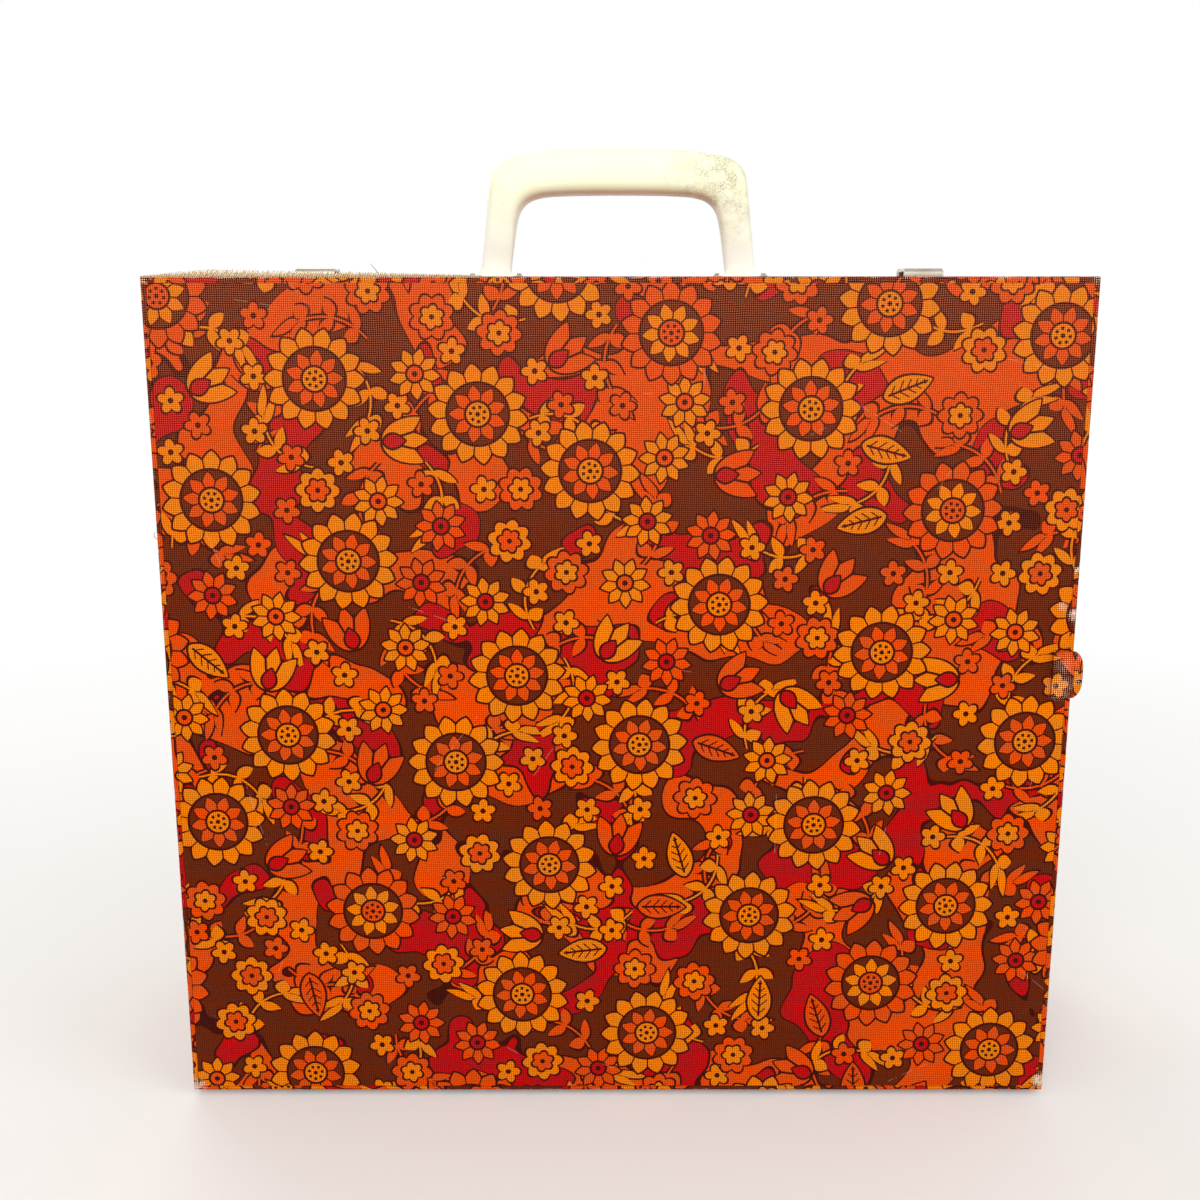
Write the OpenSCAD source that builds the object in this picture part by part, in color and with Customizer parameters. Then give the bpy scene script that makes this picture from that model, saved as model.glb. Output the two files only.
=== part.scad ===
// Record carrying case: a covered board case for long-playing records.
// It stands upright. The lid is the front part and turns on two hinges at the
// bottom edge. Two snap hasps and a moulded handle sit on the top.
// Units are millimetres: +X is right, +Y is the back and +Z is up.
// The origin is on the table, in the middle of the case.

/* [Case] */
// Width over the covering
case_w = 355; // [335:1:400]
// Height over the covering, without feet and handle
case_h = 330; // [328:1:370]
// Depth over the covering, lid and base together
case_d = 120; // [110:1:160]
// Depth of the lid, the front part
lid_d = 34; // [30:1:44]
// Gap between the rims of lid and base
rim_gap = 0.4; // [0.3:0.1:0.8]
// Radius of the covered edges
edge_r = 1.2; // [0.8:0.1:1.3]

/* [Boards and covering] */
// Thickness of the wall boards
board_t = 4; // [3.5:0.5:5]
// Thickness of the covering cloth
cloth_t = 0.4; // [0.4:0.05:0.6]
// Thickness of the printed sheets on the front and the back
sheet_t = 0.35; // [0.25:0.05:0.5]
// Plain margin that the printed sheets leave at the edges
sheet_margin = 2.5; // [1.5:0.5:4]
// Width of the cloth that is turned over onto the faces
face_turn = 14; // [10:1:20]
// Depth of the cloth that is turned in at the rims
rim_turn = 16; // [16:0.5:18]
// Thickness of the paper lining
lining_t = 0.35; // [0.25:0.05:0.5]
// Distance from the rim to the edge of the lining
lining_setback = 3; // [2:0.5:5]

/* [Locating strips] */
// Thickness of a strip where it is glued into the base
strip_t = 1.7; // [1.5:0.1:2.5]
// Clearance between the strips and the inside of the lid
strip_clear = 0.5; // [0.4:0.05:0.8]
// How far a strip reaches past the rim of the base
strip_out = 6; // [4:0.5:8]
// How far a strip reaches into the base
strip_in = 14; // [10:1:15]
// Distance of the top and bottom strips from the latches and the hinges
strip_gap = 14; // [8:1:24]

/* [Handle] */
// Distance of the handle's pins behind the split
handle_back = 26; // [25.5:0.5:34]
// Distance between the middles of the two feet
foot_span = 101.6; // [96:0.2:110]
// Height of the handle's crest over the top of the case
handle_h = 55.2; // [52:0.2:62]
// Drop of the arched grip from its crest to its ends
grip_drop = 3.2; // [2:0.2:4]
// Thickness of the round grip
grip_thick = 18.2; // [17:0.2:19]
// Width of a leg at the foot
leg_w = 12.4; // [11:0.2:13]
// Width of a leg at the grip
leg_top_w = 14; // [13:0.2:15]
// Depth of a leg halfway up
leg_depth = 11; // [9:0.5:12]
// Lean of each leg towards the middle, in degrees
leg_lean = 7; // [5:0.5:8]
// Radius of the fillet between leg and grip
grip_fillet = 8; // [6:0.5:9]
// Width of the eye at each foot
eye_w = 17.1; // [15:0.1:18]
// Radius of the eye
eye_r = 3; // [2.8:0.1:3.2]
// Radius of the bracket's pin
handle_pin_r = 1.5; // [1.3:0.1:1.6]
// Height of the pin over the top of the case
handle_pin_up = 3.6; // [3.5:0.1:4]

/* [Handle brackets] */
// Depth of the bracket plate
bracket_depth = 15; // [13:0.5:17]
// Thickness of the bracket plate
bracket_t = 1; // [0.8:0.1:1.2]
// Thickness of an ear that holds the pin
ear_t = 1.4; // [1.2:0.1:1.6]

/* [Latches] */
// Distance of each latch's middle from the side of the case
latch_inset = 58.5; // [45:0.5:65]
// Width of the hasp at its lip
hasp_w = 15.3; // [15:0.1:18]
// Thickness of the hasp
hasp_t = 1.1; // [0.9:0.05:1.3]
// Radius of the lip's corners, seen from the front
hasp_corner = 2; // [1:0.1:2]
// Distance of the hasp's pin behind the split
hasp_pin_back = 8; // [7.5:0.25:8.5]
// Height of the hasp's pin over the top of the case
hasp_pin_up = 4; // [3.8:0.1:4.4]
// Radius of the hasp's pin
hasp_pin_r = 1; // [0.8:0.05:1.1]
// Radius of the hasp's knuckle
knuckle_r = 2; // [1.8:0.05:2.2]
// Distance of the lip in front of the split
lip_ahead = 6.2; // [5.8:0.1:7]
// Thickness of the latch plates and keepers
latch_plate_t = 0.8; // [0.6:0.05:1]
// Width of the latch plate
latch_plate_w = 20; // [20:0.5:24]

/* [Hinges] */
// Distance of each hinge's middle from the side of the case
hinge_inset = 67.5; // [52:0.5:75]
// Widest turn of the lid, in degrees
lid_turn = 150; // [120:5:155]
// Width of a hinge
hinge_w = 40; // [35:1:44]
// Depth of a hinge leaf from the pin
leaf_depth = 13; // [12:0.5:14]
// Thickness of a hinge leaf
leaf_t = 0.8; // [0.7:0.05:1]
// Radius of the hinge barrel
barrel_r = 1.4; // [1.3:0.05:1.5]
// Radius of the hinge pin
hinge_pin_r = 0.7; // [0.6:0.05:0.75]

/* [Rivets and feet] */
// Radius of a rivet's shank
rivet_r = 1.2; // [1:0.1:1.4]
// Radius of a rivet's head
rivet_head_r = 2.2; // [1.9:0.1:2.3]
// Height of a rivet's head
rivet_head_h = 0.6; // [0.5:0.05:0.7]
// Height of the feet
foot_h = 2.2; // [2.2:0.1:4]
// Radius of a foot
foot_r = 6; // [5:0.5:7]
// Distance of the feet from the sides of the case
foot_inset = 27; // [20:1:35]

/* [Finger tab] */
// Height of the tab at its root
tab_root = 18.6; // [17:0.1:26]
// How far the tab stands out past the side
tab_out = 3.4; // [3:0.1:8]
// Width of the tab's patch on the front
tab_patch = 8.6; // [6:0.1:12]
// Distance of the tab's middle below the top of the case
tab_drop = 150.8; // [120:0.1:200]

/* [Hidden] */
$fn = 48;

// Clearances: a running pin, a fixed rivet, and parts that pass each other
run_clear = 0.08;
rivet_clear = 0.05;
pass_clear = 0.3;

// Heights and depths of the case
base_z = foot_h;
top_z = base_z + case_h;
mid_z = base_z + case_h / 2;
front_y = -case_d / 2;
back_y = case_d / 2;
split_y = front_y + lid_d;
lid_len = lid_d - rim_gap / 2;
base_len = case_d - lid_d - rim_gap / 2;
latch_x = case_w / 2 - latch_inset;
hinge_x = case_w / 2 - hinge_inset;
handle_x = foot_span / 2;
handle_y = split_y + handle_back;

// A half case is drawn with its face at y = 0 and its rim at y = len
board_y = sheet_t + cloth_t;
floor_y = board_y + board_t;
skin = cloth_t + board_t;
paper = cloth_t + lining_t;

// A box round the case's middle, inset from its four sides, from y0 to y1
module inset_box(inset, y0, y1)
  translate([-case_w / 2 + inset, y0, base_z + inset])
    cube([case_w - 2 * inset, y1 - y0, case_h - 2 * inset]);

module rounded_rect(w, h, r) {
  square([w - 2 * r, h], center = true);
  square([w, h - 2 * r], center = true);
  for (sx = [-1, 1], sy = [-1, 1])
    translate([sx * (w / 2 - r), sy * (h / 2 - r)]) circle(r);
}

// A profile in X and Z, pushed along Y from y0 to y1
module along_y(y0, y1)
  translate([0, y1, 0]) rotate([90, 0, 0]) linear_extrude(y1 - y0) children();

// A profile in Y and Z, pushed along X and centred
module along_x(w)
  translate([-w / 2, 0, 0]) rotate([90, 0, 90]) linear_extrude(w) children();

// A cylinder along X and centred
module rod_x(r, w)
  rotate([0, 90, 0]) cylinder(r = r, h = w, center = true);

module lid_place() translate([0, front_y, 0]) children();
module base_place() translate([0, back_y, 0]) mirror([0, 1, 0]) children();
module both_sides(x) for (s = [-1, 1]) translate([s * x, 0, 0]) children();

/* Half case: boards, covering and lining */

// The covered half as one block, with rounded edges except at the rim
module covered_block(len) {
  face_len = 2 * (len - sheet_t);
  intersection() {
    along_y(sheet_t, len)
      translate([0, mid_z]) rounded_rect(case_w, case_h, edge_r);
    along_x(case_w)
      translate([len, mid_z]) rounded_rect(face_len, case_h, edge_r);
    translate([0, len, base_z])
      linear_extrude(case_h) rounded_rect(case_w, face_len, edge_r);
  }
}

// The cloth that is turned in at the rim, without its hollow
module turned_in(len)
  inset_box(skin, len - rim_turn, len);

module half_cloth(len) difference() {
  covered_block(len);
  difference() {
    inset_box(cloth_t, board_y, len - cloth_t);
    turned_in(len);
  }
  inset_box(skin + cloth_t, floor_y, len + 1);
  inset_box(face_turn, 0, floor_y);
}

module face_sheet() {
  inset_box(sheet_margin, 0, sheet_t);
  inset_box(face_turn, sheet_t, board_y);
}

module face_board()
  inset_box(cloth_t, board_y, floor_y);

// A top or bottom wall, with its lower face at z
module level_wall(len, z)
  translate([-case_w / 2 + cloth_t, floor_y, z])
    cube([case_w - 2 * cloth_t, len - cloth_t - floor_y, board_t]);

module upright_wall(len, side)
  translate([side * (case_w / 2 - cloth_t - board_t / 2), floor_y, mid_z])
    translate([-board_t / 2, 0, -case_h / 2 + skin])
      cube([board_t, len - cloth_t - floor_y, case_h - 2 * skin]);

module half_lining(len) difference() {
  inset_box(skin, floor_y, len - lining_setback);
  difference() {
    turned_in(len);
    inset_box(skin + cloth_t, floor_y, len);
  }
  inset_box(skin + lining_t, floor_y + lining_t, len - rim_turn - lining_t);
  inset_box(skin + paper, floor_y + lining_t, len + 1);
}

bottom_wall_z = base_z + cloth_t;
top_wall_z = top_z - cloth_t - board_t;

/* Rivets */

// The stack that a rivet holds, from the covering's outside inwards
wall_stack = cloth_t + board_t;
tail_h = rivet_head_h;

// A rivet with its head on z = over and its tail inside the stack's far side
module rivet(over, under) {
  translate([0, 0, over]) rivet_head();
  translate([0, 0, -under]) cylinder(r = rivet_r, h = over + under);
  translate([0, 0, -under]) mirror([0, 0, 1]) rivet_head();
}

// A low dome that stands on z = 0
module rivet_head() {
  dome_r = (rivet_head_r ^ 2 + rivet_head_h ^ 2) / (2 * rivet_head_h);
  rotate_extrude() intersection() {
    square([rivet_head_r, rivet_head_h]);
    translate([0, rivet_head_h - dome_r]) circle(dome_r, $fn = 96);
  }
}

module rivet_hole(over, under)
  translate([0, 0, -under - 1])
    cylinder(r = rivet_r + rivet_clear, h = over + under + 2);

// The bracket's ears stand at the ends of the eye, and its rivets outside them
ear_x = eye_w / 2 + pass_clear;
ear_slope = 3.6;
ear_foot_x = ear_x + ear_t + ear_slope;
plate_rim = 1;
bracket_rivet_x = ear_foot_x + pass_clear + rivet_head_r;
bracket_w = 2 * (bracket_rivet_x + rivet_head_r + plate_rim);

// The places of the rivets, each as [x, y]
bracket_rivets = [
  for (s = [-1, 1], t = [-1, 1]) [s * handle_x + t * bracket_rivet_x, handle_y]
];
latch_rivet_x = 6;
latch_rivet_y = split_y + hasp_pin_back + 5;
latch_rivets = [
  for (s = [-1, 1], t = [-1, 1]) [s * latch_x + t * latch_rivet_x, latch_rivet_y]
];
keeper_rivet_x = 5;
keeper_rivet_y = split_y - lip_ahead - 4.8;
keeper_rivets = [
  for (s = [-1, 1], t = [-1, 1]) [s * latch_x + t * keeper_rivet_x, keeper_rivet_y]
];
leaf_rivet_x = hinge_w / 2 - 6;
leaf_rivet_out = leaf_depth - 5;
function leaf_rivets(side) = [
  for (s = [-1, 1], t = [-1, 0, 1])
    [s * hinge_x + t * leaf_rivet_x, split_y + side * leaf_rivet_out]
];

// What is under each kind of rivet, measured inwards from the covering
bracket_under = wall_stack + lining_t + bracket_t;
turned_under = wall_stack + paper;

module at_top(places)
  for (p = places) translate([p[0], p[1], top_z]) children();

module at_bottom(places)
  for (p = places) translate([p[0], p[1], base_z]) mirror([0, 0, 1]) children();

module base_top_holes() {
  at_top(bracket_rivets) rivet_hole(bracket_t, bracket_under);
  at_top(latch_rivets) rivet_hole(latch_plate_t, turned_under);
}

module base_bottom_holes() {
  at_bottom(leaf_rivets(1)) rivet_hole(leaf_t, turned_under);
  barrel_room();
}

module lid_bottom_holes() {
  at_bottom(leaf_rivets(-1)) rivet_hole(leaf_t, turned_under);
  barrel_room();
}

module keeper_holes()
  at_top(keeper_rivets) rivet_hole(latch_plate_t, turned_under);

module handle_rivets() color("silver")
  at_top(bracket_rivets) rivet(bracket_t, bracket_under);

module latch_plate_rivets() color("silver")
  at_top(latch_rivets) rivet(latch_plate_t, turned_under);

module keeper_rivets() color("silver")
  at_top(keeper_rivets) rivet(latch_plate_t, turned_under);

module base_leaf_rivets() color("silver")
  at_bottom(leaf_rivets(1)) rivet(leaf_t, turned_under);

module lid_leaf_rivets() color("silver")
  at_bottom(leaf_rivets(-1)) rivet(leaf_t, turned_under);

/* Base */

module base_back_board() color("peru")
  base_place() face_board();

module base_top_wall() color("tan") difference() {
  base_place() level_wall(base_len, top_wall_z);
  base_top_holes();
}

module base_bottom_wall() color("tan") difference() {
  base_place() level_wall(base_len, bottom_wall_z);
  base_bottom_holes();
  feet_holes();
}

module base_left_wall() color("burlywood")
  base_place() upright_wall(base_len, -1);

module base_right_wall() color("burlywood")
  base_place() upright_wall(base_len, 1);

module base_side_cloth() color("orangered") difference() {
  base_place() half_cloth(base_len);
  base_top_holes();
  base_bottom_holes();
  feet_holes();
}

module base_back_sheet() color("saddlebrown")
  base_place() face_sheet();

module base_lining() color("wheat") difference() {
  base_place() half_lining(base_len);
  base_top_holes();
  at_bottom(leaf_rivets(1)) rivet_hole(leaf_t, turned_under);
}

// The strips leave the corners, the latches and the hinges free
strip_seat = skin + paper;
strip_corner = 12;
rim_y = split_y + rim_gap / 2;
top_strip_w = 2 * (latch_x - latch_plate_w / 2 - strip_gap);
bottom_strip_w = 2 * (hinge_x - hinge_w / 2 - strip_gap);

// A ring of the strips' section, thinner past the rim to clear the lid
module strip_ring() difference() {
  inset_box(strip_seat, rim_y - strip_out, rim_y + strip_in);
  inset_box(strip_seat + strip_t, -case_d, case_d);
  difference() {
    inset_box(0, rim_y - strip_out - 1, rim_y);
    inset_box(strip_seat + strip_clear, rim_y - strip_out - 2, rim_y + 1);
  }
}

module locating_strips() color("khaki") intersection() {
  strip_ring();
  union() {
    translate([0, 0, top_z - strip_corner / 2])
      cube([top_strip_w, case_d, strip_corner], center = true);
    translate([0, 0, base_z + strip_corner / 2])
      cube([bottom_strip_w, case_d, strip_corner], center = true);
    translate([0, 0, mid_z])
      cube([2 * case_w, case_d, case_h - 2 * (strip_seat + strip_corner)],
           center = true);
  }
}

// The feet: low domed studs, each with a nail into the bottom wall
foot_flat = 4.5;
nail_r = 1;
nail_len = 3.4;
foot_x = case_w / 2 - foot_inset;
foot_front_y = split_y + 14;
foot_back_y = back_y - 14;

module each_foot()
  both_sides(foot_x)
    for (y = [foot_front_y, foot_back_y]) translate([0, y, 0]) children();

module feet_holes()
  each_foot() translate([0, 0, base_z - 1])
    cylinder(r = nail_r + rivet_clear, h = nail_len + 1 + rivet_clear);

module feet() color("gray") each_foot() {
  rotate_extrude() {
    polygon([[0, 0], [foot_flat, 0], [foot_r, foot_h - 0.8],
             [foot_r, foot_h], [0, foot_h]]);
    square([nail_r, foot_h + nail_len]);
  }
}

/* Handle */

grip_half = grip_thick / 2;
grip_mid = handle_h - grip_half;
// The ends of the grip are a little fuller than its bar, and lie just inside
// the outer sides of the legs
cap_r = grip_half + 0.15;
cap_tuck = 0.7;
cap_z = grip_mid - grip_drop;
cap_x = handle_x - (cap_z - handle_pin_up) * tan(leg_lean)
  + leg_top_w / 2 - cap_r - cap_tuck;
arch_r = (cap_x ^ 2 + grip_drop ^ 2) / (2 * grip_drop);
arch_angle = asin(cap_x / arch_r);

module grip_bar()
  translate([0, 0, grip_mid - arch_r])
    rotate([90, 0, 0]) rotate([0, 0, 90 - arch_angle])
      rotate_extrude(angle = 2 * arch_angle, $fn = 240)
        translate([arch_r, 0]) circle(grip_half);

// Inner side of the leg at height z, and underside of the grip at x
function leg_inner(z) =
  handle_x - leg_w / 2 / cos(leg_lean) - (z - handle_pin_up) * tan(leg_lean);
function grip_under(x) = grip_mid - grip_half - x ^ 2 / (2 * arch_r);

// The fillet's web bites a little into the leg and the grip
fillet_bite = 0.6;
fillet_reach = grip_fillet - fillet_bite;
fillet_z = grip_under(leg_inner(grip_mid) - grip_fillet) - fillet_reach;
fillet_x = leg_inner(fillet_z) - fillet_reach / cos(leg_lean);
fillet_depth = 7;

module leg_fillet()
  along_y(-fillet_depth / 2, fillet_depth / 2) difference() {
    translate([fillet_x, fillet_z])
      square([leg_inner(fillet_z) + 2 - fillet_x, grip_fillet + 3]);
    translate([fillet_x, fillet_z]) circle(grip_fillet);
  }

// Side view of a leg: a thin neck over the eye, which clears the bracket when
// the handle lies down, and wider towards the grip
module leg_side() {
  neck_r = eye_r - 0.6;
  top_r = leg_top_w / 2 + 1;
  outline = [
    [eye_r, 0], [eye_r, handle_pin_up], [neck_r, handle_pin_up + 3.5],
    [neck_r, handle_pin_up + 7], [leg_depth / 2, handle_pin_up + 20],
    [top_r, cap_z]
  ];
  for (s = [0, 1]) mirror([s, 0]) polygon(concat(outline, [[0, cap_z], [0, 0]]));
}

leg_len = (cap_z - handle_pin_up) / cos(leg_lean);

module handle_leg() {
  intersection() {
    translate([handle_x, 0, handle_pin_up]) rotate([0, -leg_lean, 0])
      cylinder(r1 = leg_w / 2, r2 = leg_top_w / 2, h = leg_len);
    along_x(2 * case_w) leg_side();
  }
  translate([handle_x, 0, handle_pin_up]) rod_x(eye_r, eye_w);
}

module handle() color("ivory") translate([0, handle_y, top_z]) difference() {
  union() {
    grip_bar();
    for (s = [0, 1]) mirror([s, 0, 0]) {
      translate([cap_x, 0, cap_z]) sphere(cap_r);
      handle_leg();
      leg_fillet();
    }
  }
  both_sides(handle_x) translate([0, 0, handle_pin_up])
    rod_x(handle_pin_r + run_clear, eye_w + 2);
}

/* Handle brackets */

ear_r = handle_pin_r + 1.1;
window_half_y = eye_r + pass_clear;
ear_pin_w = 2 * ear_x + 2 * ear_t + 1.6;

// A wedge in X and Z that slopes down outwards, rounded over the pin
module bracket_ear()
  intersection() {
    along_y(-ear_r, ear_r) polygon([
      [ear_x, 0], [ear_foot_x, 0], [ear_foot_x, bracket_t],
      [ear_x + ear_t, handle_pin_up + ear_r], [ear_x, handle_pin_up + ear_r]
    ]);
    along_x(2 * bracket_w) {
      translate([0, handle_pin_up]) circle(ear_r);
      translate([-ear_r, 0]) square([2 * ear_r, handle_pin_up]);
    }
  }

module bracket(side) color("silver")
  translate([side * handle_x, handle_y, top_z]) difference() {
    union() {
      linear_extrude(bracket_t) difference() {
        rounded_rect(bracket_w, bracket_depth, bracket_depth / 2 - 1);
        square([2 * ear_x, 2 * window_half_y], center = true);
      }
      bracket_ear();
      mirror([1, 0, 0]) bracket_ear();
    }
    translate([0, 0, handle_pin_up])
      rod_x(handle_pin_r + rivet_clear, 2 * bracket_w);
    both_sides(bracket_rivet_x) rivet_hole(bracket_t, 0);
  }

module handle_pin(side) color("gray")
  translate([side * handle_x, handle_y, top_z + handle_pin_up])
    rod_x(handle_pin_r, ear_pin_w);

module backing_plate(side) color("silver")
  translate([side * handle_x, handle_y, top_z - bracket_under]) difference() {
    linear_extrude(bracket_t)
      rounded_rect(bracket_w, bracket_depth, bracket_depth / 2 - 1);
    both_sides(bracket_rivet_x) rivet_hole(bracket_t, 0);
  }

module left_handle_bracket() bracket(-1);
module right_handle_bracket() bracket(1);
module left_handle_pin() handle_pin(-1);
module right_handle_pin() handle_pin(1);
module left_backing_plate() backing_plate(-1);
module right_backing_plate() backing_plate(1);

/* Latches, drawn round the split with the covering's top at z = 0 */

module latch_place(side)
  translate([side * latch_x, split_y, top_z]) children();

// The hasp's arm runs from the top of the knuckle to the bend of the lip
bend_r = 2 * hasp_t;
bend_y = -lip_ahead + bend_r;
bead_r = 0.8 * hasp_t;
bead_z = latch_plate_t + pass_clear + bead_r;
arm_top = hasp_pin_up + knuckle_r;
bend_top = arm_top - 0.6;
bend_z = bend_top - bend_r;
knuckle_w = 10.6;
plate_ear_t = 1.2;
plate_ear_r = knuckle_r + 0.2;

module hasp_profile() {
  polygon([
    [hasp_pin_back, arm_top], [bend_y, bend_top],
    [bend_y, bend_top - hasp_t], [hasp_pin_back, arm_top - hasp_t]
  ]);
  intersection() {
    translate([bend_y, bend_z]) difference() {
      circle(bend_r);
      circle(bend_r - hasp_t);
    }
    translate([bend_y - bend_r, bend_z]) square(bend_r);
  }
  translate([-lip_ahead, bead_z]) square([hasp_t, bend_z - bead_z]);
  translate([-lip_ahead + bead_r / 2, bead_z]) circle(bead_r);
}

// Seen from above: wide in front of the ears, narrow between them
module hasp_plan() {
  neck_y = hasp_pin_back - plate_ear_r - pass_clear;
  front_y = -lip_ahead - bead_r;
  hull_len = neck_y - front_y;
  translate([0, neck_y - hull_len / 2]) rounded_rect(hasp_w, hull_len, 1.2);
  translate([-knuckle_w / 2, -1])
    square([knuckle_w, hasp_pin_back + knuckle_r + 1]);
}

module hasp(side) color("lightsteelblue") latch_place(side) difference() {
  union() {
    intersection() {
      along_x(hasp_w) hasp_profile();
      linear_extrude(3 * arm_top, center = true) hasp_plan();
      along_y(-2 * lip_ahead, 2 * hasp_pin_back)
        rounded_rect(hasp_w, 2 * arm_top, hasp_corner);
    }
    translate([0, hasp_pin_back, hasp_pin_up]) rod_x(knuckle_r, knuckle_w);
  }
  translate([0, hasp_pin_back, hasp_pin_up])
    rod_x(hasp_pin_r + run_clear, hasp_w);
}

plate_back = latch_rivet_y - split_y + 4;
plate_front = rim_gap / 2 + 0.6;

module plate_ear_side() {
  translate([hasp_pin_back, hasp_pin_up]) circle(plate_ear_r);
  polygon([
    [hasp_pin_back - plate_ear_r, hasp_pin_up],
    [hasp_pin_back + plate_ear_r, hasp_pin_up],
    [hasp_pin_back + plate_ear_r + 0.6, 0],
    [hasp_pin_back - plate_ear_r - 0.6, 0]
  ]);
}

module latch_plate(side) color("silver") latch_place(side) difference() {
  union() {
    translate([0, (plate_back + plate_front) / 2])
      linear_extrude(latch_plate_t)
        rounded_rect(latch_plate_w, plate_back - plate_front, 2.5);
    both_sides(knuckle_w / 2 + pass_clear + plate_ear_t / 2)
      along_x(plate_ear_t) plate_ear_side();
  }
  translate([0, hasp_pin_back, hasp_pin_up])
    rod_x(hasp_pin_r + rivet_clear, latch_plate_w);
  for (t = [-1, 1])
    translate([t * latch_rivet_x, latch_rivet_y - split_y, 0])
      rivet_hole(latch_plate_t, 0);
}

module latch_pin(side) color("gray")
  latch_place(side) translate([0, hasp_pin_back, hasp_pin_up])
    rod_x(hasp_pin_r, knuckle_w + 2 * (pass_clear + plate_ear_t) + 0.6);

// The keeper's ridge stands just behind the lip of the closed hasp
ridge_half = 0.9;
ridge_w = 11;
ridge_top = bend_top - hasp_t - pass_clear;
ridge_y = -lip_ahead + hasp_t + bead_r / 2 + pass_clear + ridge_half;
keeper_w = 17;
keeper_front = keeper_rivet_y - split_y - 3.2;

module keeper(side) color("silver") latch_place(side) difference() {
  union() {
    translate([0, (keeper_front - plate_front) / 2])
      linear_extrude(latch_plate_t)
        rounded_rect(keeper_w, -plate_front - keeper_front, 2.5);
    along_x(ridge_w) {
      translate([ridge_y, ridge_top - ridge_half]) circle(ridge_half);
      translate([ridge_y - ridge_half, 0])
        square([2 * ridge_half, ridge_top - ridge_half]);
    }
  }
  for (t = [-1, 1])
    translate([t * keeper_rivet_x, keeper_rivet_y - split_y, 0])
      rivet_hole(latch_plate_t, 0);
}

module left_hasp() hasp(-1);
module right_hasp() hasp(1);
module left_latch_plate() latch_plate(-1);
module right_latch_plate() latch_plate(1);
module left_latch_pin() latch_pin(-1);
module right_latch_pin() latch_pin(1);
module left_keeper() keeper(-1);
module right_keeper() keeper(1);

/* Hinges, with the pin in the middle of the leaves' thickness */

knuckles = 5;
knuckle_len = hinge_w / knuckles;
hinge_z = base_z - leaf_t / 2;
pin_head_r = barrel_r - 0.2;
pin_head_t = 0.6;

module hinge_place(side)
  translate([side * hinge_x, split_y, hinge_z]) children();

// Room in cloth and wall for both barrels
module barrel_room()
  for (s = [-1, 1]) hinge_place(s)
    rod_x(barrel_r + pass_clear, hinge_w + 2 * (pin_head_t + pass_clear));

// The leaves' edges keep this far from the pin, so that they pass each other
// when the lid is wide open
half_fold = (180 - lid_turn) / 2;
fold_edge = (leaf_t / 2 * cos(half_fold) + pass_clear / 2) / sin(half_fold);
edge_y = max(barrel_r + pass_clear, fold_edge);

// A leaf that runs to +Y and has every second knuckle, from the first one on
module hinge_leaf(first) {
  gap = first == 0 ? 0 : pass_clear;
  difference() {
    union() {
      translate([-hinge_w / 2, edge_y, -leaf_t / 2])
        cube([hinge_w, leaf_depth - edge_y, leaf_t]);
      for (k = [first : 2 : knuckles - 1])
        translate([(k + 0.5) * knuckle_len - hinge_w / 2, 0, 0]) {
          rod_x(barrel_r, knuckle_len - 2 * gap);
          translate([-knuckle_len / 2 + gap, 0, -leaf_t / 2])
            cube([knuckle_len - 2 * gap, edge_y + 1, leaf_t]);
        }
    }
    rod_x(hinge_pin_r + run_clear, 2 * hinge_w);
    for (t = [-1, 0, 1])
      translate([t * leaf_rivet_x, leaf_rivet_out, 0])
        cylinder(r = rivet_r + rivet_clear, h = 2 * leaf_t, center = true);
  }
}

module base_leaf(side) color("silver") hinge_place(side) hinge_leaf(0);
module lid_leaf(side) color("lightgray")
  hinge_place(side) mirror([0, 1, 0]) hinge_leaf(1);

module hinge_pin(side) color("gray") hinge_place(side) {
  rod_x(hinge_pin_r, hinge_w + 2 * pin_head_t);
  both_sides(hinge_w / 2 + pin_head_t / 2) rod_x(pin_head_r, pin_head_t);
}

module left_base_leaf() base_leaf(-1);
module right_base_leaf() base_leaf(1);
module left_lid_leaf() lid_leaf(-1);
module right_lid_leaf() lid_leaf(1);
module left_hinge_pin() hinge_pin(-1);
module right_hinge_pin() hinge_pin(1);

/* Lid */

module lid_front_board() color("peru")
  lid_place() face_board();

module lid_top_wall() color("tan") difference() {
  lid_place() level_wall(lid_len, top_wall_z);
  keeper_holes();
}

module lid_bottom_wall() color("tan") difference() {
  lid_place() level_wall(lid_len, bottom_wall_z);
  lid_bottom_holes();
}

module lid_left_wall() color("burlywood")
  lid_place() upright_wall(lid_len, -1);

module lid_right_wall() color("burlywood")
  lid_place() upright_wall(lid_len, 1);

module lid_side_cloth() color("orangered") difference() {
  lid_place() half_cloth(lid_len);
  keeper_holes();
  lid_bottom_holes();
}

module lid_front_sheet() color("darkorange")
  lid_place() face_sheet();

module lid_lining() color("wheat") difference() {
  lid_place() half_lining(lid_len);
  keeper_holes();
  at_bottom(leaf_rivets(-1)) rivet_hole(leaf_t, turned_under);
}

// Seen from the front: square on the case and rounded at the tip
module tab_outline(patch) {
  straight = 0.2;
  translate([-patch, -tab_root / 2]) square([patch + straight, tab_root]);
  intersection() {
    rounded_rect(2 * tab_out, tab_root, tab_out - straight);
    translate([0, -tab_root / 2]) square([tab_out, tab_root]);
  }
}

// The tab lies on the front sheet and, past it, on the turned-over cloth
module finger_tab() color("gold") translate([case_w / 2, 0, top_z - tab_drop]) {
  tab_t = 0.5;
  along_y(front_y - tab_t, front_y) tab_outline(tab_patch);
  along_y(front_y, front_y + sheet_t) tab_outline(sheet_margin);
}

/* One line for each node */

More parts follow.
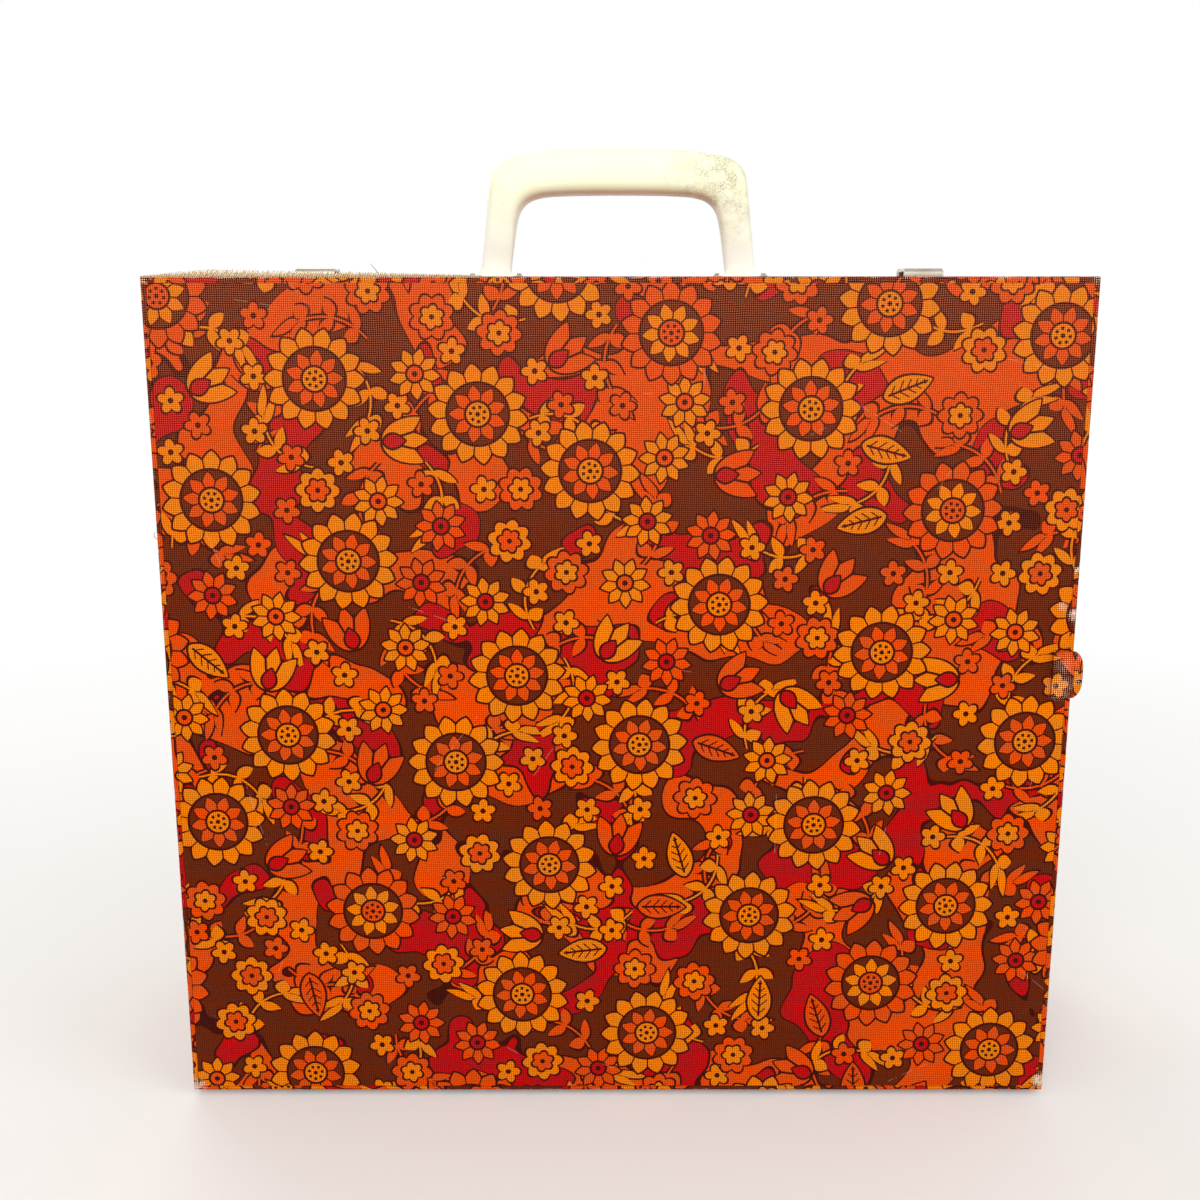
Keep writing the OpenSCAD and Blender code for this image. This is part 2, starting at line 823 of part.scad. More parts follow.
base_back_board();
base_top_wall();
base_bottom_wall();
base_left_wall();
base_right_wall();
base_side_cloth();
base_back_sheet();
base_lining();
locating_strips();
feet();
left_backing_plate();
right_backing_plate();
left_handle_bracket();
right_handle_bracket();
left_handle_pin();
right_handle_pin();
handle_rivets();
left_latch_plate();
right_latch_plate();
left_latch_pin();
right_latch_pin();
latch_plate_rivets();
left_base_leaf();
right_base_leaf();
left_hinge_pin();
right_hinge_pin();
base_leaf_rivets();
lid_front_board();
lid_top_wall();
lid_bottom_wall();
lid_left_wall();
lid_right_wall();
lid_side_cloth();
lid_front_sheet();
lid_lining();
finger_tab();
left_keeper();
right_keeper();
keeper_rivets();
left_lid_leaf();
right_lid_leaf();
lid_leaf_rivets();
left_hasp();
right_hasp();
handle();
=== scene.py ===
"""A record carrying case in printed leathercloth, with nickel fittings and an ivory handle."""

import math

import bmesh
import bpy
import numpy as np
from bpy.props import FloatProperty, FloatVectorProperty, IntProperty, PointerProperty
from bpy.types import Operator, Panel, PropertyGroup
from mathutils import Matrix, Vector


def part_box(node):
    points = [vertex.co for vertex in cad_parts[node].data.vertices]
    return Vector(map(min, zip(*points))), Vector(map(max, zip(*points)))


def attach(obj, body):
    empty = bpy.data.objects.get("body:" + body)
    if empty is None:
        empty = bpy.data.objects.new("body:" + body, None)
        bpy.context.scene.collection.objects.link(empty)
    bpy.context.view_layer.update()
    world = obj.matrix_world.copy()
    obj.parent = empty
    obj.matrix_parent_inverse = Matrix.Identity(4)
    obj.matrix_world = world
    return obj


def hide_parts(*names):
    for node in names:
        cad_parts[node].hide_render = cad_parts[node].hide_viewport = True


bl_info = {
    "name": "Record Carrying Case",
    "version": (1, 0, 0),
    "blender": (4, 5, 0),
    "location": "3D Viewport > Sidebar > Record Case",
    "description": "Dresses a record carrying case in printed cloth, nickel and ivory plastic",
    "category": "Object",
}

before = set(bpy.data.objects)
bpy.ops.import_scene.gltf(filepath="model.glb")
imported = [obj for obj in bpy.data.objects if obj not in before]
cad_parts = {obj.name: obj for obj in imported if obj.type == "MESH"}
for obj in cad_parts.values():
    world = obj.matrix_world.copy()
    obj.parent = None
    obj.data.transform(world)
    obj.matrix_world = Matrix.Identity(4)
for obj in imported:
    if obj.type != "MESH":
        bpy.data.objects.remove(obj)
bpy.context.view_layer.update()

TAU = 2 * math.pi
MM = 0.001

NICKEL_NODES = (
    "left_backing_plate", "right_backing_plate",
    "left_handle_bracket", "right_handle_bracket",
    "left_latch_plate", "right_latch_plate", "left_keeper", "right_keeper",
    "left_base_leaf", "right_base_leaf", "left_lid_leaf", "right_lid_leaf",
    "left_hasp", "right_hasp",
)
PIN_NODES = (
    "left_handle_pin", "right_handle_pin", "left_latch_pin", "right_latch_pin",
    "left_hinge_pin", "right_hinge_pin",
)
STUD_NODES = (
    "handle_rivets", "latch_plate_rivets", "keeper_rivets",
    "base_leaf_rivets", "lid_leaf_rivets", "feet",
)
BOARD_NODES = (
    "base_back_board", "base_top_wall", "base_bottom_wall", "base_left_wall",
    "base_right_wall", "lid_front_board", "lid_top_wall", "lid_bottom_wall",
    "lid_left_wall", "lid_right_wall",
)


def linear(red, green, blue):
    """An 8-bit sRGB colour as the linear one that Blender works with."""
    parts = np.array([red, green, blue]) / 255
    return tuple(np.where(parts <= 0.04045, parts / 12.92, ((parts + 0.055) / 1.055) ** 2.4))


def case_box():
    """The lowest and highest corners of the covered case, without its fittings."""
    boxes = [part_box(node) for node in ("base_side_cloth", "lid_side_cloth")]
    low = np.array([low for low, high in boxes]).min(0)
    high = np.array([high for low, high in boxes]).max(0)
    return low, high


CASE_LOW, CASE_HIGH = case_box()
SHIFT_NODE = "Print shift"


class Field:
    """A number that changes over a surface. Sums and products become Math nodes."""

    def __init__(self, tree, socket):
        self.tree = tree
        self.socket = socket

    def math(self, operation, *values, swapped=False):
        node = self.tree.nodes.new("ShaderNodeMath")
        node.operation = operation
        order = (*values, self) if swapped else (self, *values)
        for socket, value in zip(node.inputs, order):
            put(self.tree, value, socket)
        return Field(self.tree, node.outputs[0])

    def __add__(self, other):
        return self.math("ADD", other)

    def __radd__(self, other):
        return self.math("ADD", other)

    def __sub__(self, other):
        return self.math("SUBTRACT", other)

    def __rsub__(self, other):
        return self.math("SUBTRACT", other, swapped=True)

    def __mul__(self, other):
        return self.math("MULTIPLY", other)

    def __rmul__(self, other):
        return self.math("MULTIPLY", other)

    def __pow__(self, other):
        return self.math("POWER", other)

    def __lt__(self, other):
        return self.math("LESS_THAN", other)

    def __gt__(self, other):
        return self.math("GREATER_THAN", other)

    def __abs__(self):
        return self.math("ABSOLUTE")

    def smallest(self, other):
        return self.math("MINIMUM", other)

    def largest(self, other):
        return self.math("MAXIMUM", other)

    def sine(self):
        return self.math("SINE")

    def cosine(self):
        return self.math("COSINE")

    def within_one(self):
        """The field held between 0 and 1."""
        return self.largest(0).smallest(1)

    def wrapped(self):
        """The field less its nearest whole number."""
        return self.math("WRAP", 0.5, -0.5)

    def ramp(self, low, high):
        """0 below low, 1 above high and straight between them."""
        return ((self - low) * (1 / (high - low))).within_one()


def put(tree, value, socket):
    """Gives a node's socket a constant, or a link from a field or another socket."""
    if isinstance(value, Field):
        tree.links.new(value.socket, socket)
    elif isinstance(value, bpy.types.NodeSocket):
        tree.links.new(value, socket)
    elif isinstance(value, tuple) and len(value) == 3 and socket.type == "RGBA":
        socket.default_value = (*value, 1)
    else:
        socket.default_value = value


class Finish:
    """One material: a Principled shader, and the node patterns that finishes share.

    Lengths in it are millimetres, on the Object coordinates of the piece."""

    def __init__(self, name, roughness, **constants):
        self.material = bpy.data.materials.new(name)
        self.material.use_nodes = True
        self.tree = self.material.node_tree
        self.shader = self.tree.nodes["Principled BSDF"]
        self.set("Roughness", roughness)
        for socket, value in constants.items():
            self.set(socket.replace("_", " "), value)
        self.colour = None
        place = self.node("ShaderNodeTexCoord")
        self.normal = place.outputs["Normal"]
        self.position = self.vector_math("SCALE", place.outputs["Object"], Scale=1 / MM)
        self.x, self.y, self.z = self.parts(self.position)

    def node(self, kind, **values):
        node = self.tree.nodes.new(kind)
        for name, value in values.items():
            setattr(node, name, value)
        return node

    def set(self, name, value):
        put(self.tree, value, self.shader.inputs[name])

    def field(self, socket):
        return Field(self.tree, socket)

    def parts(self, vector):
        split = self.node("ShaderNodeSeparateXYZ")
        put(self.tree, vector, split.inputs[0])
        return [self.field(out) for out in split.outputs]

    def vector(self, x, y, z=0.0):
        joined = self.node("ShaderNodeCombineXYZ")
        for value, socket in zip((x, y, z), joined.inputs):
            put(self.tree, value, socket)
        return joined.outputs[0]

    def vector_math(self, operation, *vectors, **named):
        node = self.node("ShaderNodeVectorMath", operation=operation)
        for value, socket in zip(vectors, node.inputs):
            put(self.tree, value, socket)
        for name, value in named.items():
            put(self.tree, value, node.inputs[name])
        return node.outputs["Value" if operation == "LENGTH" else "Vector"]

    def moved(self, vector, shift, turn=0.0, back=False):
        """The coordinates turned about Z by an angle and then shifted, or that undone."""
        node = self.node("ShaderNodeMapping", vector_type="TEXTURE" if back else "POINT")
        put(self.tree, vector, node.inputs["Vector"])
        node.inputs["Location"].default_value = shift
        node.inputs["Rotation"].default_value = (0, 0, turn)
        return node.outputs[0]

    def noise(self, vector, size, detail=2.0, roughness=0.5, flat=False):
        """Smooth noise from 0 to 1 whose lumps are about size mm wide."""
        node = self.node("ShaderNodeTexNoise", noise_dimensions="2D" if flat else "3D")
        put(self.tree, vector, node.inputs["Vector"])
        node.inputs["Scale"].default_value = 1 / size
        node.inputs["Detail"].default_value = detail
        node.inputs["Roughness"].default_value = roughness
        return self.field(node.outputs[0])

    def mixed(self, mask, below, above):
        """The colour below where mask is 0, and the one above where it is 1."""
        node = self.node("ShaderNodeMix", data_type="RGBA")
        for value, socket in zip((mask, below, above), (node.inputs[i] for i in (0, 6, 7))):
            put(self.tree, value, socket)
        return node.outputs[2]

    def lay(self, mask, colour):
        """Covers the finish so far with a colour where the mask is 1."""
        self.colour = self.mixed(mask, self.colour, colour)

    def bump(self, height, depth, under=None):
        """Raises the surface by height (0 to 1) times depth mm, over another bump."""
        node = self.node("ShaderNodeBump")
        put(self.tree, height, node.inputs["Height"])
        node.inputs["Distance"].default_value = depth * MM
        if under is not None:
            put(self.tree, under, node.inputs["Normal"])
        return node.outputs[0]

    def done(self, normal=None):
        if self.colour is not None:
            self.set("Base Color", self.colour)
        if normal is not None:
            self.set("Normal", normal)
        return self.material


class Scatter:
    """A motif's places: one in each cell of a slanted grid, moved about inside it."""

    def __init__(self, finish, spacing, spread, shift, slant, keep_off=()):
        self.finish = finish
        self.spacing = spacing
        self.spread = spread
        self.shift = shift
        self.slant = slant
        self.keep_off = keep_off

    def nearest(self, flat):
        """The place nearest to a point: the way to it, and its own random numbers."""
        finish = self.finish
        node = finish.node("ShaderNodeTexVoronoi", voronoi_dimensions="2D")
        moved = finish.moved(flat, self.shift, self.slant)
        put(finish.tree, moved, node.inputs["Vector"])
        node.inputs["Scale"].default_value = 1 / self.spacing
        node.inputs["Randomness"].default_value = self.spread
        return Place(self, moved, node)


class Place:
    """The nearest place of a motif, seen from a point of the cloth."""

    def __init__(self, scatter, moved, node):
        finish = scatter.finish
        self.kind, self.turn, self.pick = finish.parts(node.outputs["Color"])
        self.distance = finish.field(node.outputs["Distance"]) * scatter.spacing
        self.away = finish.vector_math("SUBTRACT", moved, node.outputs["Position"])
        home = finish.moved(node.outputs["Position"], scatter.shift, scatter.slant, back=True)
        self.shown = None
        for other, room in scatter.keep_off:
            rival = other.nearest(home)
            clear = rival.distance > room
            if rival.shown is not None:
                clear = clear.largest(1 - rival.shown)
            self.shown = clear if self.shown is None else self.shown * clear

    def polar(self, finish):
        """Sets the distance from the place and the angle from its own axis."""
        x, y, _ = finish.parts(self.away)
        self.radius = self.distance
        self.angle = y.math("ARCTAN2", x) + self.turn * TAU
        return self


def petal_edge(along, across, root, tip, width, fullness=0.8, grow=0.0):
    """How far a point lies inside a petal, in mm, or below 0 outside it.

    Half the petal's width is width/2 sin(pi t^fullness)^0.8, where t runs from 0 at
    its root to 1 at its tip. grow makes the petal larger on every side."""
    t = ((along - (root - grow)) * (1 / (tip - root + 2 * grow))).within_one()
    return (t**fullness * math.pi).sine() ** 0.8 * (width / 2 + grow) - abs(across)


def lobed_edge(place, radius, lobes, depth):
    """How far a point lies inside a flower outline.

    Its radius is radius (1 - depth (1 - |cos(lobes a / 2)|))."""
    wave = abs((place.angle * (lobes / 2)).cosine())
    return wave * (radius * depth) + radius * (1 - depth) - place.radius


class Stencil:
    """Prints outlined shapes in the inks, only where its motif is shown."""

    def __init__(self, finish, inks, line, shown=None):
        self.finish = finish
        self.inks = inks
        self.line = line
        self.shown = shown

    def lay(self, mask, ink):
        self.finish.lay(mask if self.shown is None else mask * self.shown, ink)

    def either(self, pick, least, usual, other):
        """One ink for most motifs and another where pick is over least."""
        return self.finish.mixed(pick > least, usual, other)

    def petals(self, place, ink, count, root, tip, width, fullness=0.8, weight=1.0):
        sector = abs((place.angle * (count / TAU)).wrapped())
        across = sector * place.radius * (TAU / count)
        for grow, paint in ((self.line * weight, self.inks.outline), (0.0, ink)):
            edge = petal_edge(place.radius, across, root, tip, width, fullness, grow)
            self.lay(edge > 0, paint)
        between = (0.5 - sector) * place.radius * (TAU / count) < self.line * 0.3
        self.lay(between * (edge > 0), self.inks.outline)

    def lobes(self, place, ink, radius, lobes, depth):
        edge = lobed_edge(place, radius, lobes, depth)
        self.lay(edge > -self.line, self.inks.outline)
        self.lay(edge > 0, ink)

    def disc(self, place, ink, radius):
        self.lay(place.radius < radius + self.line, self.inks.outline)
        self.lay(place.radius < radius, ink)

    def dot(self, place, radius):
        self.lay(place.radius < radius, self.inks.outline)


def rosette(stencil, place):
    """Fourteen pointed petals round a brown ring, nine short petals and a dotted eye."""
    inks = stencil.inks
    outer = stencil.either(place.pick, 0.75, inks.amber, inks.orange)
    inner = stencil.either(place.pick, 0.75, inks.orange, inks.amber)
    stencil.dot(place, 14.0)
    stencil.petals(place, outer, count=14, root=8.5, tip=18.6, width=6.6, fullness=1.2)
    stencil.disc(place, inks.ground, 11.3)
    stencil.petals(place, inner, count=9, root=3.6, tip=10.7, width=4.8, weight=0.6)
    stencil.disc(place, outer, 4.3)
    beads = abs((place.angle * (7 / TAU)).wrapped()) < 0.24
    stencil.lay((abs(place.radius - 2.7) < 0.62) * beads, inks.outline)
    stencil.dot(place, 0.9)


def daisy(stencil, place):
    """Nine blunt petals with a round eye."""
    inks = stencil.inks
    petals = stencil.either(place.pick, 0.7, inks.amber, inks.orange)
    eye = stencil.either(place.pick, 0.4, inks.orange, inks.red)
    stencil.petals(place, petals, count=9, root=1.4, tip=9.4, width=4.9)
    stencil.disc(place, eye, 2.7)
    stencil.dot(place, 1.1)


def blossom(stencil, place):
    """A double flower: eight round lobes and a six-lobed middle."""
    inks = stencil.inks
    outer = stencil.either(place.pick, 0.6, inks.amber, inks.orange)
    inner = stencil.either(place.pick, 0.6, inks.orange, inks.amber)
    stencil.lobes(place, outer, radius=8.2, lobes=8, depth=0.24)
    stencil.lobes(place, inner, radius=4.3, lobes=6, depth=0.3)
    stencil.dot(place, 1.0)


def tulip(stencil, place):
    """Three petals that spread from one root, with a red heart."""
    inks = stencil.inks
    along = place.radius * place.angle.cosine() + 8.0
    across = place.radius * place.angle.sine()
    radius = (along * along + across * across) ** 0.5
    angle = across.math("ARCTAN2", along)
    step = 0.52
    petal = (angle * (1 / step)).math("ROUND").largest(-1).smallest(1)
    off = (angle - petal * step) * radius
    colour = stencil.either(place.pick, 0.5, inks.amber, inks.orange)
    for grow, paint in ((stencil.line, inks.outline), (0.0, colour)):
        stencil.lay(petal_edge(radius, off, 0.6, 17.0, 7.6, grow=grow) > 0, paint)
    fold = abs(abs(angle) - step / 2) * radius < stencil.line / 2
    stencil.lay(fold * (abs(radius - 8) < 6), inks.outline)
    stencil.lay(petal_edge(along, across, 0.6, 8.4, 5.0, grow=stencil.line) > 0, inks.outline)
    stencil.lay(petal_edge(along, across, 0.6, 8.4, 5.0, grow=0.0) > 0, inks.red)


def veined_leaf(stencil, place):
    """A broad pointed leaf with a middle vein and slanting side veins."""
    inks = stencil.inks
    along = place.radius * place.angle.cosine() + 10.0
    across = place.radius * place.angle.sine()
    side = abs(across)
    for grow, paint in (
        (stencil.line, inks.outline),
        (0.0, stencil.either(place.pick, 0.5, inks.amber, inks.orange)),
    ):
        stencil.lay(petal_edge(along, across, 0.5, 19.5, 9.4, grow=grow) > 0, paint)
    inner = petal_edge(along, across, 0.5, 19.5, 9.4, grow=-1.5) > 0
    veins = abs(((along - side * 0.9) * (1 / 3.2)).wrapped()) < 0.11
    stencil.lay(inner * veins.largest(side < 0.45), inks.outline)


def star(stencil, place):
    """A small flower of five lobes."""
    inks = stencil.inks
    petals = stencil.either(place.pick, 0.66, inks.amber, inks.orange)
    stencil.lobes(place, petals, radius=4.9, lobes=5, depth=0.44)
    stencil.dot(place, 1.1)


def sprig(stencil, place, ink, bend):
    """A stem bent by bend x^2, with three pairs of leaves and one at its tip."""
    along = place.radius * place.angle.cosine()
    across = place.radius * place.angle.sine() - along * along * bend
    side = abs(across)
    pitch, slope = 10.0, 0.95
    step = (along * (1 / pitch)).wrapped() * pitch
    reach = step * math.cos(slope) + side * math.sin(slope)
    off = side * math.cos(slope) - step * math.sin(slope)
    shown = abs(along) < 1.5 * pitch
    for grow, paint in ((stencil.line, stencil.inks.outline), (0.0, ink)):
        leaf = petal_edge(reach, off, 0.6, 8.4, 4.2, grow=grow) > 0
        tip = petal_edge(along, across, 13.0, 21.0, 4.6, grow=grow) > 0
        stem = (side < 0.42 + grow) * (abs(along - 1.0) < 14.5)
        stencil.lay((leaf * shown).largest(tip).largest(stem), paint)


def patches(finish, flat, inks, line):
    """Large flowing areas of orange and red on the brown ground, with drawn edges."""
    for colour, size, least, shift in (
        (inks.orange, 42, 0.54, (90, 15, 0)), (inks.red, 30, 0.61, (10, 70, 0)),
    ):
        level = finish.noise(finish.moved(flat, shift), size, 1.0, 0.4, flat=True)
        finish.lay(level > least - line * 0.55 / size, inks.outline)
        finish.lay(level > least, colour)


def print_flowers(finish, flat, inks, line):
    """Prints the flowers from the bottom up: patches, sprigs, stars, flowers, rosettes."""
    wheels = Scatter(finish, spacing=64, spread=0.38, shift=(13, 5, 0), slant=0.5)
    flowers = Scatter(
        finish, spacing=25, spread=0.22, shift=(4, 19, 0), slant=0.3, keep_off=((wheels, 24.5),))
    fillers = Scatter(
        finish, spacing=15, spread=0.26, shift=(3, 3, 0), slant=0.8,
        keep_off=((wheels, 22), (flowers, 13)))
    patches(finish, flat, inks, line)
    for ink, shift, slant, bend in (
        (inks.orange, (17, 51, 0), 0.6, 0.025), (inks.amber, (55, 31, 0), 1.0, -0.03),
    ):
        sprigs = Scatter(finish, spacing=47, spread=0.25, shift=shift, slant=slant)
        sprig(Stencil(finish, inks, line), sprigs.nearest(flat).polar(finish), ink, bend)
    filler = fillers.nearest(flat).polar(finish)
    star(Stencil(finish, inks, line, filler.shown), filler)
    flower = flowers.nearest(flat).polar(finish)
    chances = ((daisy, 0.0, 0.36), (blossom, 0.36, 0.66), (tulip, 0.66, 0.84), (veined_leaf, 0.84, 1.01))
    for motif, least, most in chances:
        chosen = flower.shown * (flower.kind > least) * (flower.kind < most)
        motif(Stencil(finish, inks, line, chosen), flower)
    rosette(Stencil(finish, inks, line), wheels.nearest(flat).polar(finish))


def face_plane(finish, shift):
    """The two coordinates that lie in the face of the case that a point is on."""
    x_off, y_off, z_off = (abs(part) for part in finish.parts(finish.normal))
    sides = finish.vector(finish.y + 210, finish.z)
    ends = finish.vector(finish.x, finish.y - 120)
    faces = finish.vector(finish.x, finish.z)
    on_end = z_off > x_off.largest(y_off)
    on_face = y_off > x_off.largest(z_off)
    chosen = finish.mixed(on_face, finish.mixed(on_end, sides, ends), faces)
    moved = finish.vector_math("ADD", chosen, shift)
    moved.node.name = SHIFT_NODE
    return moved


class Inks:
    """The printing colours of the covering, as sockets' plain values."""

    def __init__(self, covering):
        self.ground = tuple(covering.ground)
        self.outline = tuple(covering.outline)
        self.amber = tuple(covering.amber)
        self.orange = tuple(covering.orange)
        self.red = tuple(covering.red)


def printed_leathercloth(name, covering, shift):
    """Coated cloth with a flower print, a pressed linen grain, scratches and wear, with painted shade
    between the grain's threads and a painted highlight on their tops near the top of the case.
    """
    finish = Finish(name, covering.roughness, Specular_IOR_Level=0.04)
    inks = Inks(covering)
    line = covering.line_width / MM
    flat = face_plane(finish, shift)
    finish.colour = finish.mixed(0.0, inks.ground, inks.ground)
    print_flowers(finish, flat, inks, line)
    grain = linen_threads(finish, flat, covering.weave_pitch / MM)
    fade = finish.noise(finish.position, 45, 3.0)
    # Painted shade: the colour is darkened in the grain's valleys between the threads, and fade adds
    # random tone.
    shade_between_threads = 0.23
    shade = grain.ramp(0.0, 0.62) * 0.72 + fade * 0.14 + shade_between_threads
    finish.colour = finish.vector_math("SCALE", finish.colour, Scale=shade)
    # Painted highlight: the thread tops are lightened more and more towards the top of the case,
    # standing in for the sheen of light from above.
    highlight_from = CASE_LOW[2] / MM + 130
    high = finish.z.ramp(highlight_from, CASE_HIGH[2] / MM)
    finish.lay(grain.ramp(0.58, 0.9) * high * high * 0.6, tuple(covering.crown_highlight))
    bare_cloth = tuple(covering.bare_cloth)
    finish.lay(scratches(finish, flat) * 0.2, bare_cloth)
    wear = edge_wear(finish).largest(worn_spots(finish))
    finish.lay((grain > 1.02 - wear) * 0.9, bare_cloth)
    finish.set("Roughness", grain * -0.14 + wear * 0.3 + covering.roughness)
    return finish.done(finish.bump(grain, covering.grain_depth / MM))


def cut_elsewhere(cloth, name, shift):
    """The same cloth, cut from another place of the roll."""
    piece = cloth.copy()
    piece.name = name
    piece.node_tree.nodes[SHIFT_NODE].inputs[1].default_value = shift
    return piece


def linen_threads(finish, flat, pitch):
    """Crossing threads at a pitch, a little uneven: 0 between them, 1 on their tops."""
    uneven = (finish.noise(flat, 9, 2.0, flat=True) - 0.5) * 0.8
    across, up, _ = finish.parts(flat)
    warp = abs(((across + uneven) * (math.pi / pitch)).sine())
    weft = abs(((up + uneven) * (math.pi / pitch)).sine())
    return warp * weft


def scratches(finish, flat):
    """Thin straight scratches of random length and direction, broken up by noise."""
    half_width, longest_half = 0.11, 15
    places = Scatter(finish, spacing=70, spread=1.0, shift=(0, 0, 0), slant=0.2)
    place = places.nearest(flat).polar(finish)
    along = place.radius * place.angle.cosine()
    across = place.radius * place.angle.sine()
    line = (abs(across) < half_width) * (abs(along) < place.kind * longest_half)
    return line * (finish.noise(flat, 4, 2.0, flat=True) > 0.46)


def edge_wear(finish):
    """Rubbed edges of the case: highest where two faces meet and noise is high."""
    half = (CASE_HIGH - CASE_LOW) / 2 / MM
    middle = (CASE_HIGH + CASE_LOW) / 2 / MM
    inward = [
        half[axis] - abs(coordinate - middle[axis])
        for axis, coordinate in enumerate((finish.x, finish.y, finish.z))
    ]
    pairs = [inward[i].largest(inward[j]) for i, j in ((0, 1), (0, 2), (1, 2))]
    edge = pairs[0].smallest(pairs[1]).smallest(pairs[2])
    blotch = finish.noise(finish.position, 7, 3.0, 0.6)
    return edge.ramp(1.2, 0.2) * blotch.ramp(0.52, 0.64) * 0.6


def worn_spots(finish):
    """The worst places, each fading out from its middle with ragged sides."""
    side, front = CASE_HIGH[0] / MM, CASE_LOW[1] / MM
    top, bottom = CASE_HIGH[2] / MM, CASE_LOW[2] / MM
    tab_low, tab_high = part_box("finger_tab")
    tab_z = (tab_low[2] + tab_high[2]) / 2 / MM
    ragged = finish.noise(finish.position, 2.2, 3.0, 0.65)

    def spot(x, y, z, radius, strength):
        away = finish.vector_math("SUBTRACT", finish.position, (x, y, z))
        distance = finish.field(finish.vector_math("LENGTH", away))
        return distance.ramp(radius, radius * 0.35) * strength

    at_tab = (
        spot(side - 3.5, front, tab_z + 4, radius=6.0, strength=0.27),
        spot(side - 5, front, tab_z - 5, radius=6.5, strength=0.38),
    )
    over_tab = (
        spot(side - 1, front, tab_z + 23.5, radius=3.2, strength=1.0),
        spot(side - 6, front, tab_z + 27, radius=2.4, strength=0.62),
        spot(side - 1, front, tab_z + 41, radius=1.8, strength=1.0),
    )
    front_corners = (
        spot(side - 1.5, front, bottom + 5, radius=4.2, strength=1.0),
        spot(side - 1, front, top - 1, radius=3.0, strength=0.35),
        spot(2 - side, front, bottom + 2, radius=4.5, strength=0.9),
        spot(1 - side, front, top - 1, radius=2.4, strength=0.5),
    )
    back_corners = (
        spot(side - 2, -front, bottom + 2, radius=5.0, strength=1.0),
        spot(2 - side, -front, top - 2, radius=4.5, strength=1.0),
    )
    worn, *others = at_tab + over_tab + front_corners + back_corners
    for other in others:
        worn = worn.largest(other)
    return worn * ragged.ramp(0.3, 0.52)


def nickel(name, metal, tarnish):
    """Satin nickel plate: fine brushing, dull spots and a slightly uneven colour."""
    finish = Finish(name, 0.32, Metallic=1.0)
    cloud = finish.noise(finish.position, 5, 3.0)
    speck = finish.noise(finish.position, 0.7, 2.0)
    brushing = finish.noise(finish.vector_math("MULTIPLY", finish.position, (0.12, 2.4, 2.4)), 1, 2.0)
    finish.colour = finish.mixed(cloud, tuple(metal.nickel), tuple(metal.shadow))
    finish.lay((speck > 0.64) * cloud.ramp(0.4, 0.6) * tarnish, tuple(metal.rust))
    finish.set("Roughness", brushing * 0.2 + cloud * 0.12 + 0.22)
    return finish.done(finish.bump(brushing, 0.004))


def board(name, colour, dark):
    """Pressed wood-fibre board: short crossing fibres and dark specks."""
    finish = Finish(name, 0.85, Specular_IOR_Level=0.2)
    long_way = finish.noise(finish.vector_math("MULTIPLY", finish.position, (0.25, 1.0, 1.3)), 0.8, 3.0)
    short_way = finish.noise(finish.vector_math("MULTIPLY", finish.position, (1.4, 0.8, 0.3)), 0.8, 3.0)
    fibres = long_way * 0.5 + short_way * 0.5
    finish.colour = finish.mixed(fibres.ramp(0.3, 0.7), dark, colour)
    return finish.done(finish.bump(fibres, 0.15))


def lining_paper(name, colour, shade):
    """Uncoated paper: faint mottling in two tones and small fibres."""
    finish = Finish(name, 0.92, Specular_IOR_Level=0.15)
    mottle = finish.noise(finish.position, 14, 4.0, 0.6)
    fibre = finish.noise(finish.vector_math("MULTIPLY", finish.position, (0.5, 1.0, 1.6)), 0.5, 2.0)
    finish.colour = finish.mixed(mottle.ramp(0.3, 0.75), colour, shade)
    finish.lay((fibre > 0.7) * 0.35, shade)
    return finish.done(finish.bump(fibre, 0.04))


def moulded_plastic(name, handle, middle):
    """Ivory plastic: yellowed at the grip, with a mould seam, fine scuffs and dirt."""
    finish = Finish(name, 0.34, Specular_IOR_Level=0.3)
    cloud = finish.noise(finish.position, 16, 3.0)
    foot_end, grip_start = 14, 38
    held = finish.z.ramp(middle[2] + foot_end, middle[2] + grip_start)
    yellowed = held * 0.75 + cloud.ramp(0.35, 0.7) * 0.25
    finish.colour = finish.mixed(yellowed, tuple(handle.ivory), tuple(handle.aged))
    dirty_corner = (middle[0] + 44, middle[1], middle[2] + 43)
    away = finish.vector_math("SUBTRACT", finish.position, dirty_corner)
    near = finish.field(finish.vector_math("LENGTH", away)).ramp(30, 8)
    speck = finish.noise(finish.position, 0.55, 3.0, 0.7)
    smear = finish.noise(finish.position, 5, 3.0)
    dirt = speck.ramp(0.4, 0.6) * near * smear.ramp(0.36, 0.56)
    finish.lay(dirt * 0.7, tuple(handle.dirt))
    few = (finish.noise(finish.position, 0.9, 2.0) > 0.73) * (smear > 0.55)
    finish.lay(few * 0.4, tuple(handle.dirt))
    scuffs = finish.noise(finish.vector_math("MULTIPLY", finish.position, (0.2, 1.0, 2.5)), 1.4, 3.0)
    finish.set("Roughness", scuffs * 0.25 + dirt * 0.2 + 0.2)
    seam_half_width = 0.12
    seam = abs(finish.y - middle[1]) < seam_half_width
    grain = finish.bump(speck, 0.03)
    return finish.done(finish.bump(seam, 0.05, grain))


def cover(nodes, material):
    """Gives CAD nodes that keep their own shape a material of their own."""
    for name in nodes:
        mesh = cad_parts[name].data
        mesh.materials.clear()
        mesh.materials.append(material)


def grid_faces(rows, columns, closed):
    """Quads between the rows of a grid of points. closed joins each row's ends."""
    row, column = np.meshgrid(np.arange(rows - 1), np.arange(columns - (not closed)), indexing="ij")
    after = (column + 1) % columns
    corners = (row * columns + column, row * columns + after,
               (row + 1) * columns + after, (row + 1) * columns + column)
    return np.stack(corners, -1).reshape(-1, 4)


